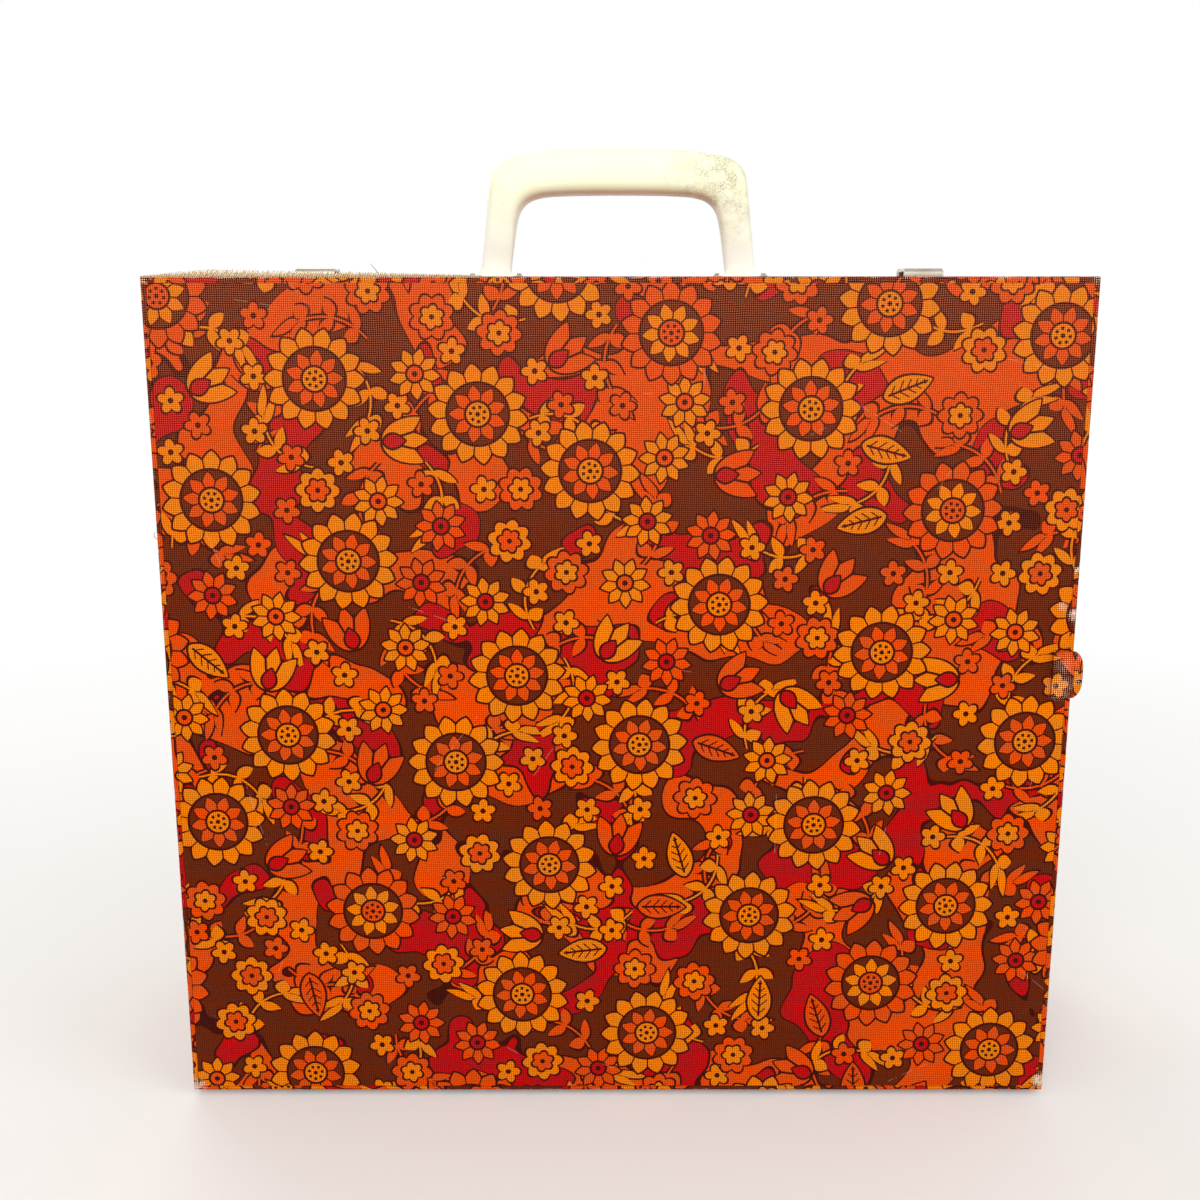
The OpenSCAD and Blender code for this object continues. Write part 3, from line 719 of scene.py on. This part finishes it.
def make_piece(name, points, faces, material, body, smooth=True):
    """A mesh object in the frame that rides on a body and has its finish from a slot."""
    mesh = bpy.data.meshes.new(name)
    mesh.from_pydata(points.reshape(-1, 3).tolist(), [], faces.tolist())
    mesh.polygons.foreach_set("use_smooth", [smooth] * len(mesh.polygons))
    mesh.materials.append(material)
    piece = bpy.data.objects.new(name, mesh)
    bpy.context.scene.collection.objects.link(piece)
    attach(piece, body)
    return piece


def merged(piece, distance):
    """Joins the piece's doubled points and turns its faces outwards."""
    shape = bmesh.new()
    shape.from_mesh(piece.data)
    bmesh.ops.remove_doubles(shape, verts=shape.verts, dist=distance)
    bmesh.ops.recalc_face_normals(shape, faces=shape.faces)
    shape.to_mesh(piece.data)
    shape.free()


def subdivide(piece, levels):
    modifier = piece.modifiers.new("Subdivision", "SUBSURF")
    modifier.levels = levels
    modifier.render_levels = levels


def smooth_step(value, low, high):
    """0 below low and 1 above high, with an S-shaped rise between."""
    t = np.clip((value - low) / (high - low), 0, 1)
    return t * t * (3 - 2 * t)


def handle_section_rows(shape, pin_z):
    """The handle as rows of sections, from the right foot over the grip to the left.

    Each ray from the middle of the two pins meets an inner and an outer outline. The
    outline's distance along a ray is (leg^-n + crest^-n)^(-1/n), where leg is the
    way to the leaning leg and crest the way to the bowed bar. A section is a
    superellipse that spans the two outlines and is as deep as its height asks."""
    foot_count = 8
    foot_rows = np.linspace(-math.pi / 2, 0, foot_count + 1)[:-1]
    rays = np.linspace(0, math.pi, 161)
    cosine, sine = np.maximum(np.abs(np.cos(rays)), 1e-6), np.maximum(np.sin(rays), 1e-6)

    def outline(foot_x, lean, crest_z, bow, sharpness):
        leg = foot_x / (cosine + lean * sine)
        flat = crest_z / sine
        crest = (crest_z - bow * np.clip(flat * cosine / foot_x, 0, 1) ** 2) / sine
        return (leg**-sharpness + crest**-sharpness) ** (-1 / sharpness)

    outer = outline(
        shape.outer_x / MM, shape.lean, shape.crest / MM - pin_z, shape.bow / MM, sharpness=15)
    inner = outline(
        shape.inner_x / MM, shape.lean * 1.15, shape.under / MM - pin_z, bow=1.0, sharpness=9)
    middle = (outer + inner) / 2
    height = middle * sine
    half_width = (outer - inner) / 2
    flare = (shape.eye_width / MM - 2 * half_width[0]) / 2
    half_width = half_width + flare * np.exp(-((height / 2.1) ** 2)) * (sine < 0.5)
    depth = shape.eye_depth / MM / 2
    depth = depth + (shape.leg_depth - shape.eye_depth) / MM / 2 * smooth_step(height, 5, 20)
    depth = depth + (shape.grip_depth - shape.leg_depth) / MM / 2 * smooth_step(height, 16, 38)
    centre = np.stack([np.cos(rays) * middle, height], 1)
    along = np.stack([np.cos(rays), np.sin(rays)], 1)
    foot_depth = shape.eye_depth / MM / 2
    right = np.stack([np.full(foot_count, centre[0, 0]), foot_depth * np.sin(foot_rows)], 1)
    left = right[::-1] * [-1, 1]
    foot_half = foot_depth * np.cos(foot_rows)
    centre = np.concatenate([right, centre, left])
    outwards = np.tile([1.0, 0], (foot_count, 1))
    along = np.concatenate([outwards, along, -outwards])
    half_width = np.pad(half_width, foot_count, mode="edge")
    depth = np.concatenate([foot_half, depth, foot_half[::-1]])
    return centre, along, half_width, depth


def build_handle(shape, material):
    """Sweeps the superelliptic sections of the handle into one closed surface."""
    low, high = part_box("left_handle_pin")
    pin = (np.array(low) + np.array(high)) / 2 / MM
    pin_up = pin[2] - CASE_HIGH[2] / MM
    centre, along, half_width, depth = handle_section_rows(shape, pin_up)
    turn = np.linspace(0, TAU, 48, endpoint=False)
    squareness = 2 / shape.squareness
    u = np.sign(np.cos(turn)) * np.abs(np.cos(turn)) ** squareness
    v = np.sign(np.sin(turn)) * np.abs(np.sin(turn)) ** squareness
    flat = centre[:, None] + along[:, None] * (half_width[:, None] * u)[..., None]
    points = np.stack([flat[..., 0], depth[:, None] * v, flat[..., 1]], -1)
    points = (points + [0, pin[1], pin[2]]) * MM
    faces = grid_faces(len(centre), len(turn), closed=True)
    piece = make_piece("handle_grip", points, faces, material, "handle")
    merged(piece, 1e-5)
    return piece


def build_finger_tab(shape, front, side_cloth):
    """A tongue of cloth: its reach is out (1 - |s|^3.6)^0.85 along its root.

    On the case it carries on the front's print, and past the edge it has its own."""
    low, high = (np.array(corner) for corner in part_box("finger_tab"))
    side = CASE_HIGH[0]
    along = np.sin(np.linspace(-1, 1, 65) * math.pi / 2)
    across = np.linspace(0, 1, 25)
    reach = (high[0] - side) * (1 - np.abs(along) ** 3.6) ** 0.85
    x = low[0] + across * (side + reach[:, None] - low[0])
    beyond = np.clip((x - side) / (high[0] - side), 0, 1)
    pillow = shape.tab_puff * np.sin(math.pi * np.clip(across * 1.6, 0, 1))
    pillow = pillow * np.cos(along[:, None] * math.pi / 2)
    y = low[1] + shape.tab_curl * beyond**2 - pillow
    z = (low[2] + high[2]) / 2 + along[:, None] * (high[2] - low[2]) / 2
    points = np.stack(np.broadcast_arrays(x, y, z), -1)
    faces = grid_faces(len(along), len(across), closed=False)
    piece = make_piece("finger_tab_cloth", points, faces, front, "lid")
    piece.data.materials.append(side_cloth)
    middles = np.zeros(3 * len(faces))
    piece.data.polygons.foreach_get("center", middles)
    piece.data.polygons.foreach_set("material_index", (middles[::3] > side).astype(int))
    thick = piece.modifiers.new("Cloth thickness", "SOLIDIFY")
    thick.thickness = shape.tab_thickness
    thick.offset = 1
    return piece


def fibre_tubes(paths, radius, sides):
    """Round tubes along many paths at once. paths has one row of points per fibre.

    Each ring lies square to its path's own direction, and narrows to the tip."""
    direction = np.gradient(paths, axis=1)
    direction /= np.linalg.norm(direction, axis=2, keepdims=True)
    first = np.cross(direction, [0.0, 1.0, 0.0])
    first /= np.linalg.norm(first, axis=2, keepdims=True)
    second = np.cross(direction, first)
    turn = np.arange(sides) * TAU / sides
    taper = radius * (1 - 0.35 * np.linspace(0, 1, paths.shape[1]) ** 2)
    ring = first[:, :, None] * np.cos(turn)[:, None] + second[:, :, None] * np.sin(turn)[:, None]
    points = paths[:, :, None] + ring * taper[None, :, None, None]
    count, rings = paths.shape[:2]
    single = grid_faces(rings, sides, closed=True)
    faces = (single[None] + (np.arange(count) * rings * sides)[:, None, None]).reshape(-1, 4)
    return points.reshape(-1, 3), faces


def fringe_paths(shape, count, behind, rng):
    """One row of thread ends of the raw cloth, which lean to the right and curl back.

    Their height follows a hump: it rises over the first sixth and then falls away."""
    place = (np.arange(count) + behind / 2 + rng.uniform(-0.14, 0.14, count)) / count
    hump = np.minimum(place / 0.17, 1) * (1 - place) ** 0.7
    longest = shape.fringe_height * (1 - 0.4 * behind)
    height = longest * hump * rng.uniform(0.88, 1.08, count) + 0.2 * MM
    t = np.linspace(0, 1, 6)
    x = CASE_LOW[0] + 0.6 * MM + place * shape.fringe_length
    lean = height[:, None] * (0.75 * t + rng.uniform(-0.2, 0.2, count)[:, None] * t**2)
    back = height[:, None] * rng.uniform(0.1, 0.55, count)[:, None] * t**2
    z = CASE_HIGH[2] - 0.5 * MM + (height[:, None] + 0.5 * MM) * t
    y = CASE_LOW[1] + (rng.uniform(0.2, 0.5, count)[:, None] + 0.55 * behind) * MM + back
    return np.stack(np.broadcast_arrays(x[:, None] + lean, y, z), -1)


def stray_paths():
    """Two loose threads: one hooked over the top edge, one off the left side."""
    t = np.linspace(0, 1, 14)
    top = np.stack([
        CASE_LOW[0] + 88.5 * MM - 2.9 * MM * t + 0.35 * MM * np.sin(t * 5),
        CASE_LOW[1] + 0.6 * MM + 1.5 * MM * t,
        CASE_HIGH[2] - 0.2 * MM + 4.9 * MM * t,
    ], -1)
    left = np.stack([
        CASE_LOW[0] + 0.3 * MM - 1.6 * MM * np.sin(t * 2.4),
        CASE_LOW[1] + 1.0 * MM + 0.6 * MM * t,
        CASE_LOW[2] + 232 * MM + 3.0 * MM * t**1.3,
    ], -1)
    return np.stack([top, left])


def thread_finish(name, colour, shade):
    """Cotton thread: matt, with darker and lighter fibres along it, and painted shade where it lies at
    or below the case's top edge.
    """
    finish = Finish(name, 0.9, Specular_IOR_Level=0.15)
    stripe = finish.noise(finish.vector_math("MULTIPLY", finish.position, (3.0, 3.0, 0.8)), 0.6, 2.0)
    finish.colour = finish.mixed(stripe.ramp(0.35, 0.65), shade, colour)
    # Painted shade: threads are darkened below and up to about 1 mm over the case's top edge.
    low = (finish.z - CASE_HIGH[2] / MM).ramp(1.1, -0.3)
    finish.lay(low * 0.6, shade)
    return finish.done(finish.bump(stripe, 0.05))


def colour(name, description, red, green, blue):
    """A colour that a user may change, given in 8-bit sRGB."""
    return FloatVectorProperty(
        name=name, description=description, subtype="COLOR", default=linear(red, green, blue))


def length(name, description, millimetres, **limits):
    """A length that a user may change, given in mm."""
    return FloatProperty(
        name=name, description=description, unit="LENGTH", default=millimetres * MM, **limits)


class CoveringLook(PropertyGroup):
    ground: colour("Ground", "Brown ground of the print", 108, 37, 5)
    outline: colour("Outline", "Maroon lines of the print", 72, 12, 2)
    amber: colour("Amber", "Main colour of the flowers", 250, 131, 0)
    orange: colour("Orange", "Second colour of the flowers", 238, 79, 0)
    red: colour("Red", "Third colour, in patches", 196, 10, 14)
    line_width: length("Line width", "Width of the printed outlines", 0.95, min=0.3 * MM, max=2 * MM)
    weave_pitch: length("Linen pitch", "Distance between the threads", 0.8, min=0.4 * MM, max=2 * MM)
    grain_depth: length("Grain depth", "Depth of the pressed linen grain", 0.2, min=0.0, max=0.6 * MM)
    bare_cloth: colour("Bare cloth", "Backing cloth where the coating is rubbed off", 222, 204, 184)
    # The crown highlight colour is a painted highlight on the grain's thread tops, strongest near the
    # top of the case.
    crown_highlight: colour("Crowns", "Rubbed crowns of the grain, most of all near the top", 212, 128, 98)
    roughness: FloatProperty(
        name="Roughness", description="Roughness of the coating",
        subtype="FACTOR", default=0.45, min=0, max=1)


class TrimLook(PropertyGroup):
    tab_curl: length("Tab curl", "How far the tip of the tab bends back", 0.35)
    tab_puff: length("Tab puff", "How far the doubled cloth of the tab stands up", 0.25)
    tab_thickness: length("Tab thickness", "Thickness of the tab's doubled cloth", 0.5)
    fringe_length: length("Fringe length", "How much of the top front edge is frayed", 126)
    fringe_height: length("Fringe height", "Longest thread ends of the frayed edge", 2.6)
    fringe_pitch: length("Fringe pitch", "Distance between thread ends", 0.8, min=0.3 * MM)
    thread_radius: length("Thread radius", "Radius of a thread end", 0.27)
    seed: IntProperty(
        name="Seed", description="Seed of the frayed threads", default=11)


class MetalLook(PropertyGroup):
    nickel: colour("Nickel", "Clean nickel plate", 214, 206, 190)
    shadow: colour("Dulled nickel", "Plate dulled by handling", 178, 168, 150)
    rust: colour("Rust", "Specks of rust", 96, 62, 38)


class HandleLook(PropertyGroup):
    ivory: colour("Ivory", "Colour of the plastic", 249, 254, 243)
    aged: colour("Yellowed ivory", "Plastic yellowed by age", 241, 246, 208)
    dirt: colour("Dirt", "Brownish dirt in the grain", 138, 112, 88)
    outer_x: length("Outer foot", "From the middle to the outside of a foot", 57.2)
    inner_x: length("Inner foot", "From the middle to the inside of a foot", 44.8)
    lean: FloatProperty(
        name="Lean", description="How much a leg leans in per unit of height",
        default=0.115)
    crest: length("Crest", "Height of the grip's top over the case", 55.2)
    under: length("Underside", "Height of the grip's underside over the case", 37.4)
    bow: length("Bow", "How far the crest falls towards the corners", 4.6)
    eye_width: length("Eye width", "Width of the foot round its pin", 17.1)
    eye_depth: length("Eye depth", "Thickness of the foot round its pin", 6.0)
    leg_depth: length("Leg depth", "Thickness of a leg half way up", 10.5)
    grip_depth: length("Grip depth", "Thickness of the grip, front to back", 17.4)
    squareness: FloatProperty(
        name="Squareness", description="Superellipse power of the sections",
        default=3.4, min=2, max=4)


class StudioLook(PropertyGroup):
    camera_place: FloatVectorProperty(
        name="Camera place", description="Where the camera stands",
        subtype="XYZ", unit="LENGTH", default=(-7.5 * MM, -514.3 * MM, 294.3 * MM))
    camera_dip: FloatProperty(
        name="Camera dip", description="How far the camera looks down",
        subtype="ANGLE", default=math.radians(10.4))
    camera_turn: FloatProperty(
        name="Camera turn", description="How far the camera is turned to the left",
        subtype="ANGLE", default=0.0)
    lens: FloatProperty(
        name="Lens", description="Focal length on a 36 mm sensor, in millimetres",
        default=35.85)
    floor: colour("Floor", "Colour of the floor", 236, 234, 230)
    fade_start: FloatProperty(
        name="Fade start", description="How far off the floor begins to fade to white",
        unit="LENGTH", default=0.15)
    fade_end: FloatProperty(
        name="Fade end", description="How far off the floor is white",
        unit="LENGTH", default=0.95)
    lamp_power: FloatProperty(
        name="Lamp power", description="Power of the large front lamp, in watts",
        default=14.0)
    sky: FloatProperty(
        name="Room light", description="Strength of the light from all round",
        default=0.75)


class CASE_OT_coverings(Operator):
    """Covers the case in printed leathercloth and sews on its finger tab"""

    bl_idname = "record_case.coverings"
    bl_label = "Coverings"

    def execute(self, context):
        look = context.scene.case_covering
        sides = printed_leathercloth("side_leathercloth", look, (0.0, 0.0, 0.0))
        front = cut_elsewhere(sides, "front_leathercloth", (430.0, 260.0, 0.0))
        back = cut_elsewhere(sides, "back_leathercloth", (-520.0, 730.0, 0.0))
        cover(("base_side_cloth", "lid_side_cloth"), sides)
        cover(("lid_front_sheet",), front)
        cover(("base_back_sheet",), back)
        tab = build_finger_tab(context.scene.case_trim, front, sides)
        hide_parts("finger_tab")
        return {"FINISHED"}


class CASE_OT_frayed_edge(Operator):
    """Frays the raw cloth along the top front edge and adds two stray threads"""

    bl_idname = "record_case.frayed_edge"
    bl_label = "Frayed edge"

    def execute(self, context):
        shape = context.scene.case_trim
        rng = np.random.default_rng(shape.seed)
        cream = thread_finish("cream_thread", linear(252, 240, 204), linear(168, 122, 78))
        grey = thread_finish("grey_thread", linear(112, 110, 108), linear(80, 78, 76))
        count = int(shape.fringe_length / shape.fringe_pitch)
        rows = [fringe_paths(shape, count, behind, rng) for behind in (0, 1)]
        points, faces = fibre_tubes(np.concatenate(rows), shape.thread_radius, 6)
        make_piece("frayed_edge", points, faces, cream, "lid")
        points, faces = fibre_tubes(stray_paths(), shape.thread_radius * 0.45, 6)
        make_piece("stray_threads", points, faces, grey, "lid")
        return {"FINISHED"}


class CASE_OT_boards(Operator):
    """Gives the boards, strips and linings their bare board and paper"""

    bl_idname = "record_case.boards"
    bl_label = "Boards and linings"

    def execute(self, context):
        fibre = board("fibreboard", linear(176, 142, 104), linear(132, 100, 68))
        strip = board("strawboard", linear(196, 166, 122), linear(158, 126, 86))
        paper = lining_paper("lining_paper", linear(228, 214, 182), linear(206, 188, 150))
        cover(BOARD_NODES, fibre)
        cover(("locating_strips",), strip)
        cover(("base_lining", "lid_lining"), paper)
        return {"FINISHED"}


class CASE_OT_metalwork(Operator):
    """Gives the plates, pins, rivets and feet their nickel"""

    bl_idname = "record_case.metalwork"
    bl_label = "Metalwork"

    def execute(self, context):
        look = context.scene.case_metal
        cover(NICKEL_NODES, nickel("nickel_plate", look, 0.5))
        cover(PIN_NODES, nickel("nickel_pins", look, 0.8))
        cover(STUD_NODES, nickel("nickel_rivets", look, 0.6))
        return {"FINISHED"}


class CASE_OT_handle(Operator):
    """Moulds the ivory handle over its pins"""

    bl_idname = "record_case.handle"
    bl_label = "Handle"

    def execute(self, context):
        look = context.scene.case_handle
        low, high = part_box("handle")
        middle = ((low[0] + high[0]) / 2 / MM, (low[1] + high[1]) / 2 / MM, CASE_HIGH[2] / MM)
        ivory = moulded_plastic("ivory_plastic", look, middle)
        grip = build_handle(look, ivory)
        subdivide(grip, 1)
        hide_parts("handle")
        return {"FINISHED"}


class CASE_OT_studio(Operator):
    """Sets the pale floor, the soft lamps and the camera"""

    bl_idname = "record_case.studio"
    bl_label = "Studio"

    def execute(self, context):
        look = context.scene.case_studio
        floor_sheet(look)
        soft_lamp("front_lamp", look.lamp_power, size=1.1, place=(-0.25, -1.5, 0.85))
        soft_lamp("side_lamp", look.lamp_power * 0.4, size=1.0, place=(1.3, -0.7, 0.9))
        soft_lamp("back_lamp", look.lamp_power * 0.3, size=0.8, place=(-0.6, 0.95, 0.9))
        room_light(look)
        camera = bpy.data.cameras.new("camera")
        camera.sensor_width = 36
        camera.lens = look.lens
        stand = bpy.data.objects.new("camera", camera)
        stand.location = look.camera_place
        stand.rotation_euler = (math.pi / 2 - look.camera_dip, 0, look.camera_turn)
        context.scene.collection.objects.link(stand)
        context.scene.camera = stand
        context.scene.view_settings.view_transform = "Standard"
        return {"FINISHED"}


def floor_sheet(look):
    """A pale sheet that runs back along the floor and curves up into a backdrop.

    Where it is seen, also in metal, it fades into plain white away from the case."""
    finish = Finish("studio_floor", 0.8, Specular_IOR_Level=0.1)
    mottle = finish.noise(finish.position, 160, 3.0)
    finish.colour = finish.mixed(mottle * 0.08, tuple(look.floor), linear(216, 212, 204))
    finish.done()
    white = finish.node("ShaderNodeEmission")
    path = finish.node("ShaderNodeLightPath")
    seen = finish.field(path.outputs["Is Camera Ray"])
    seen = seen.largest(finish.field(path.outputs["Is Glossy Ray"]))
    seen = seen.largest(finish.field(path.outputs["Is Transmission Ray"]))
    away = finish.field(finish.vector_math("LENGTH", finish.position))
    fade = away.ramp(look.fade_start / MM, look.fade_end / MM) * 0.9 + 0.1
    both = finish.node("ShaderNodeMixShader")
    put(finish.tree, seen * fade, both.inputs[0])
    put(finish.tree, finish.shader.outputs[0], both.inputs[1])
    put(finish.tree, white.outputs[0], both.inputs[2])
    put(finish.tree, both.outputs[0], finish.tree.nodes["Material Output"].inputs["Surface"])
    turn = np.linspace(0, math.pi / 2, 17)[1:]
    reach, back, bend, top = 9.0, 0.75, 0.35, 3.0
    y = np.concatenate([[-reach, back], back + bend * np.sin(turn), [back + bend]])
    z = np.concatenate([[0, 0], bend - bend * np.cos(turn), [top]])
    x = np.array([-reach, reach])
    points = np.stack(np.broadcast_arrays(x[None], y[:, None], z[:, None]), -1)
    mesh = bpy.data.meshes.new("studio_floor")
    mesh.from_pydata(points.reshape(-1, 3).tolist(), [], grid_faces(len(y), 2, False).tolist())
    mesh.polygons.foreach_set("use_smooth", [True] * len(mesh.polygons))
    mesh.materials.append(finish.material)
    sheet = bpy.data.objects.new("studio_floor", mesh)
    bpy.context.scene.collection.objects.link(sheet)


def soft_lamp(name, power, size, place):
    lamp = bpy.data.lights.new(name, "AREA")
    lamp.energy = power
    lamp.size = size
    stand = bpy.data.objects.new(name, lamp)
    stand.location = place
    aim = np.array([0, 0, 0.16])
    stand.rotation_mode = "QUATERNION"
    stand.rotation_quaternion = Vector(aim - np.array(place)).to_track_quat("-Z", "Y")
    stand.visible_camera = False
    bpy.context.scene.collection.objects.link(stand)


def room_light(look):
    """An even white room: light from all round, and plain white where it is seen."""
    world = bpy.data.worlds.new("room")
    bpy.context.scene.world = world
    world.use_nodes = True
    tree = world.node_tree
    background = tree.nodes["Background"]
    background.inputs["Color"].default_value = (1, 1, 1, 1)
    path = tree.nodes.new("ShaderNodeLightPath")
    seen = Field(tree, path.outputs["Is Camera Ray"])
    strength = seen * (1 - look.sky) + look.sky
    put(tree, strength, background.inputs["Strength"])


class VIEW3D_PT_record_case(Panel):
    """Lists the steps that dress the case"""

    bl_label = "Record Case"
    bl_idname = "VIEW3D_PT_record_case"
    bl_space_type = "VIEW_3D"
    bl_region_type = "UI"
    bl_category = "Record Case"

    def draw(self, context):
        for step in STEPS:
            self.layout.operator(step.bl_idname)


STEPS = (
    CASE_OT_coverings, CASE_OT_frayed_edge, CASE_OT_boards, CASE_OT_metalwork,
    CASE_OT_handle, CASE_OT_studio,
)
LOOKS = {
    "case_covering": CoveringLook,
    "case_trim": TrimLook,
    "case_metal": MetalLook,
    "case_handle": HandleLook,
    "case_studio": StudioLook,
}


def register():
    for look in LOOKS.values():
        bpy.utils.register_class(look)
    for name, look in LOOKS.items():
        setattr(bpy.types.Scene, name, PointerProperty(type=look))
    for step in (*STEPS, VIEW3D_PT_record_case):
        bpy.utils.register_class(step)


def unregister():
    for step in reversed((*STEPS, VIEW3D_PT_record_case)):
        bpy.utils.unregister_class(step)
    for name, look in LOOKS.items():
        delattr(bpy.types.Scene, name)
        bpy.utils.unregister_class(look)


def main():
    register()
    for step in STEPS:
        group, name = step.bl_idname.split(".")
        getattr(getattr(bpy.ops, group), name)()


if __name__ == "__main__":
    main()
